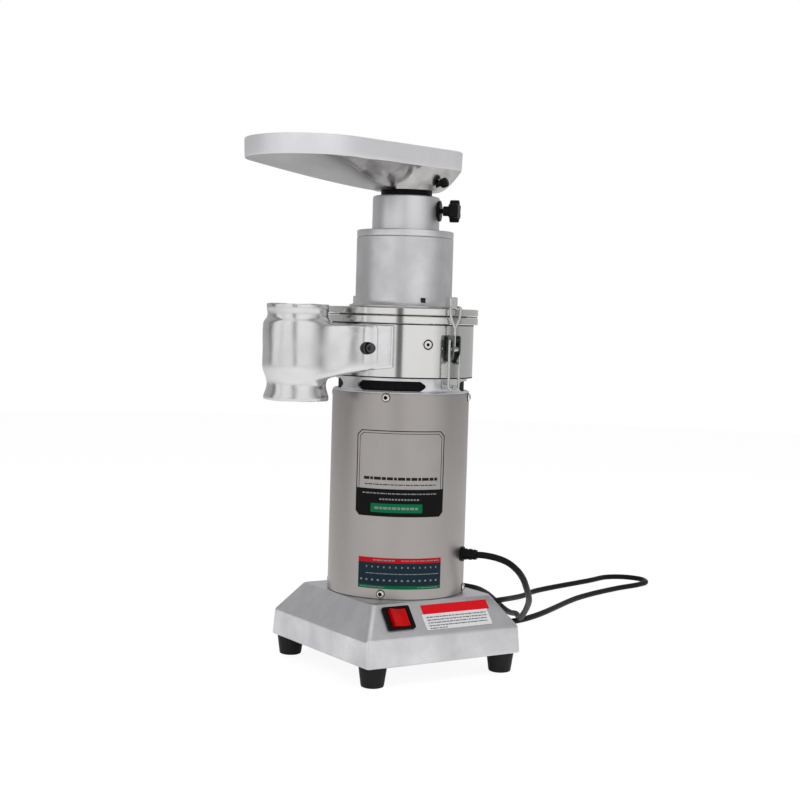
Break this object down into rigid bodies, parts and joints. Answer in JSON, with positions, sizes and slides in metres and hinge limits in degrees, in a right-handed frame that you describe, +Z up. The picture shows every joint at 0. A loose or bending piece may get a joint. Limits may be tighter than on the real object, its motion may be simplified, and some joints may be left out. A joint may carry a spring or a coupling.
{
  "type": "food grinder",
  "caption": "Upright electric food grinder: teardrop feed tray, drum mill with side outlet, stainless motor sleeve, bevelled cast base on rubber feet.",
  "frame": {"origin": "centre of the part's footprint, on the surface that its feet stand on, without the cord", "axes": "+Z up, the switch faces -Y, the outlet and the tray's wide end point along -X"},
  "size_m": [0.7864, 0.4662, 0.5452],
  "materials": {
    "cast_aluminium": "polished casting, lightly mottled",
    "polished_aluminium": "turned and polished",
    "stainless": "satin",
    "bright_steel": "machined",
    "zinc_steel": "zinc plated",
    "motor_iron": "stacked laminations",
    "copper_wire": "varnished",
    "black_plastic": "moulded",
    "red_plastic": "clear red",
    "black_rubber": "matt",
    "cord_rubber": "satin"
  },
  "bodies": {
    "root": {"base_casting": "cast_aluminium", "base_plate": "stainless", "foot_front_left": "black_rubber", "foot_front_right": "black_rubber", "foot_back_left": "black_rubber", "foot_back_right": "black_rubber", "switch_housing": "black_plastic", "sleeve": "stainless", "lower_bracket": "cast_aluminium", "upper_bracket": "cast_aluminium", "stator_core": "motor_iron", "winding_lower": "copper_wire", "winding_upper": "copper_wire", "lower_bearing_outer_race": "bright_steel", "upper_bearing_outer_race": "bright_steel", "capacitor": "black_plastic", "drum": "polished_aluminium", "drum_bolt_back": "bright_steel", "drum_bolt_front": "bright_steel", "drum_bolt_right": "bright_steel", "shaft_seal": "black_rubber", "toothed_liner": "bright_steel", "screen": "stainless", "outlet_casting": "cast_aluminium", "outlet_bolt_back": "bright_steel", "outlet_bolt_front": "bright_steel", "lid_gasket": "black_rubber", "lid": "polished_aluminium", "tower": "polished_aluminium", "latch_front_post": "polished_aluminium", "latch_back_post": "polished_aluminium", "neck": "polished_aluminium", "neck_washer": "black_plastic", "latch_front_hook": "zinc_steel", "latch_front_link": "zinc_steel", "latch_back_hook": "zinc_steel", "latch_back_link": "zinc_steel", "cable_gland": "black_plastic", "cord": "cord_rubber", "cord_coil": "cord_rubber", "cord_tail": "cord_rubber", "plug": "black_plastic"},
    "rotor": {"rotor_core": "motor_iron", "shaft": "bright_steel", "lower_bearing_inner_race": "bright_steel", "upper_bearing_inner_race": "bright_steel", "cooling_fan": "black_plastic", "beater_rotor": "stainless", "rotor_nut": "bright_steel"},
    "rocker": {"switch_rocker": "red_plastic"},
    "feed_tube_body": {"feed_tube": "black_plastic"},
    "tray_body": {"tray": "cast_aluminium"},
    "tray_knob_body": {"tray_knob": "black_plastic"},
    "neck_knob_body": {"neck_knob": "black_plastic"},
    "latch_front_lever_body": {"latch_front_lever": "zinc_steel", "latch_front_rod": "zinc_steel"},
    "latch_front_bail_body": {"latch_front_bail": "zinc_steel"},
    "latch_back_lever_body": {"latch_back_lever": "zinc_steel", "latch_back_rod": "zinc_steel"},
    "latch_back_bail_body": {"latch_back_bail": "zinc_steel"}
  },
  "joints": [
    {"name": "rotor_spin", "type": "hinge", "parent": "root", "child": "rotor", "pos_m": [0.0446, 0, 0.2], "axis": [0, 0, 1], "continuous": true},
    {"name": "switch_rock", "type": "hinge", "parent": "root", "child": "rocker", "pos_m": [-0.0052, -0.08131, 0.06416], "axis": [0, 0.6308, 0.7759], "range_deg": [-18, 0]},
    {"name": "feed_tube_lift", "type": "slide", "parent": "root", "child": "feed_tube_body", "axis": [0, 0, 1], "range_m": [0, 0.06]},
    {"name": "tray_swivel", "type": "hinge", "parent": "feed_tube_body", "child": "tray_body", "pos_m": [0.0446, 0, 0.505], "axis": [0, 0, 1], "continuous": true},
    {"name": "tray_knob_turn", "type": "hinge", "parent": "tray_body", "child": "tray_knob_body", "pos_m": [0.0616, -0.02944, 0.5067], "axis": [0.4698, -0.8138, 0.342], "continuous": true},
    {"name": "neck_knob_turn", "type": "hinge", "parent": "root", "child": "neck_knob_body", "pos_m": [0.07995, -0.03535, 0.4815], "axis": [0.7071, -0.7071, 0], "continuous": true},
    {"name": "latch_front_open", "type": "hinge", "parent": "root", "child": "latch_front_lever_body", "pos_m": [0.05471, -0.08238, 0.347], "axis": [-0.9925, -0.1219, 0], "range_deg": [0, 110]},
    {"name": "latch_front_bail_turn", "type": "hinge", "parent": "latch_front_lever_body", "child": "latch_front_bail_body", "pos_m": [0.05471, -0.08238, 0.338], "axis": [-0.9925, -0.1219, 0], "range_deg": [-93, 0]},
    {"name": "latch_back_open", "type": "hinge", "parent": "root", "child": "latch_back_lever_body", "pos_m": [0.03449, 0.08238, 0.347], "axis": [0.9925, 0.1219, 0], "range_deg": [0, 110]},
    {"name": "latch_back_bail_turn", "type": "hinge", "parent": "latch_back_lever_body", "child": "latch_back_bail_body", "pos_m": [0.03449, 0.08238, 0.338], "axis": [0.9925, 0.1219, 0], "range_deg": [-93, 0]}
  ],
  "couplings": [
    {"joint": "latch_front_bail_turn", "follows": "latch_front_open", "ratio": -0.84},
    {"joint": "latch_back_bail_turn", "follows": "latch_back_open", "ratio": -0.84}
  ]
}
